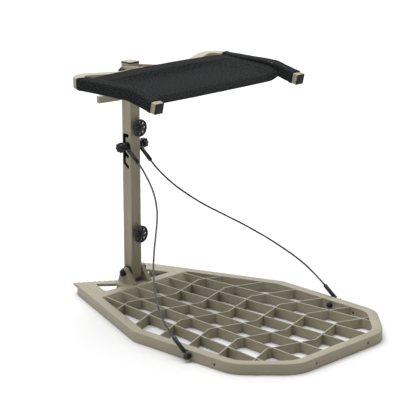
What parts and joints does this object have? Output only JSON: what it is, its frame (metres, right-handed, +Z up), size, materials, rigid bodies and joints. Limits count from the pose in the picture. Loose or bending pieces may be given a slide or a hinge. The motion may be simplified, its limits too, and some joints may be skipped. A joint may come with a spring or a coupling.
{
  "type": "hang-on tree stand",
  "caption": "Hunter's tree stand: a ribbed cast platform hinged to a square post, held level by slack support cables, with a flip-up sling seat at the post's top.",
  "frame": {"origin": "centre of the overall footprint, on the ground under the platform", "axes": "+Z up; -Y forward, away from the tree; +Y towards the tree; +X to the sitter's left-hand side seen from the front, called right here"},
  "size_m": [0.5392, 0.788, 0.5946],
  "materials": {
    "khaki_paint": "fine-textured powder coat",
    "black_steel": "black zinc",
    "black_plastic": "moulded satin",
    "grey_plastic": "moulded",
    "wire_cable": "stranded wire in clear jacket",
    "seat_cloth": "woven nylon"
  },
  "bodies": {
    "platform": {"platform_frame": "khaki_paint", "platform_ribs": "khaki_paint", "left_tooth_plate": "khaki_paint", "right_tooth_plate": "khaki_paint", "fold_bolt": "black_steel", "fold_nut": "black_steel", "left_anchor_bolt": "black_steel", "left_anchor_nut": "black_steel", "left_lower_eye": "black_steel", "left_lower_sleeve": "black_plastic", "left_cable": "wire_cable", "right_anchor_bolt": "black_steel", "right_anchor_nut": "black_steel", "right_lower_eye": "black_steel", "right_lower_sleeve": "black_plastic", "right_cable": "wire_cable"},
    "post": {"post_tube": "khaki_paint", "post_cap": "black_plastic", "cap_plate": "khaki_paint", "left_fold_washer": "black_plastic", "right_fold_washer": "black_plastic", "tree_bracket": "khaki_paint", "bracket_bolt": "black_steel", "bracket_nut": "black_steel", "lower_strap_button": "black_plastic", "lower_button_spacer": "black_plastic", "lower_button_screw": "black_steel", "upper_strap_button": "black_plastic", "upper_button_spacer": "black_plastic", "upper_button_screw": "black_steel"},
    "cable_carriage": {"levelling_bolt": "black_steel", "left_knob_hub": "black_plastic", "left_slot_washer": "black_plastic", "left_upper_eye": "black_steel", "left_upper_sleeve": "black_plastic", "right_knob_hub": "black_plastic", "right_slot_washer": "black_plastic", "right_upper_eye": "black_steel", "right_upper_sleeve": "black_plastic"},
    "left_knob": {"left_star_knob": "black_plastic"},
    "right_knob": {"right_star_knob": "black_plastic"},
    "seat_pin": {"seat_bolt": "black_steel", "seat_nut": "black_steel", "left_seat_washer": "black_plastic", "right_seat_washer": "black_plastic"},
    "seat": {"seat_frame": "khaki_paint", "seat_bracket": "khaki_paint", "left_end_cap": "grey_plastic", "right_end_cap": "grey_plastic", "seat_sling": "seat_cloth", "left_arm_sleeve": "seat_cloth", "right_arm_sleeve": "seat_cloth"}
  },
  "joints": [
    {"name": "post_fold", "type": "hinge", "parent": "platform", "child": "post", "pos_m": [0, 0.2995, 0.052], "axis": [1, 0, 0], "range_deg": [0, 82], "deforming": ["left_cable", "right_cable"]},
    {"name": "levelling_release", "type": "slide", "parent": "post", "child": "cable_carriage", "axis": [0, 0.7814, 0.624], "range_m": [0, 0.0145]},
    {"name": "left_knob_turn", "type": "hinge", "parent": "cable_carriage", "child": "left_knob", "pos_m": [-0.0389, 0.296, 0.378], "axis": [-1, 0, 0], "continuous": true},
    {"name": "right_knob_turn", "type": "hinge", "parent": "cable_carriage", "child": "right_knob", "pos_m": [0.0389, 0.296, 0.378], "axis": [1, 0, 0], "continuous": true},
    {"name": "seat_follow", "type": "hinge", "parent": "post", "child": "seat_pin", "pos_m": [0, 0.2995, 0.567], "axis": [-1, 0, 0], "range_deg": [0, 82]},
    {"name": "seat_flip", "type": "hinge", "parent": "seat_pin", "child": "seat", "pos_m": [0, 0.2995, 0.567], "axis": [-1, 0, 0], "range_deg": [0, 95]}
  ],
  "couplings": [
    {"joint": "seat_follow", "follows": "post_fold", "ratio": 1}
  ]
}
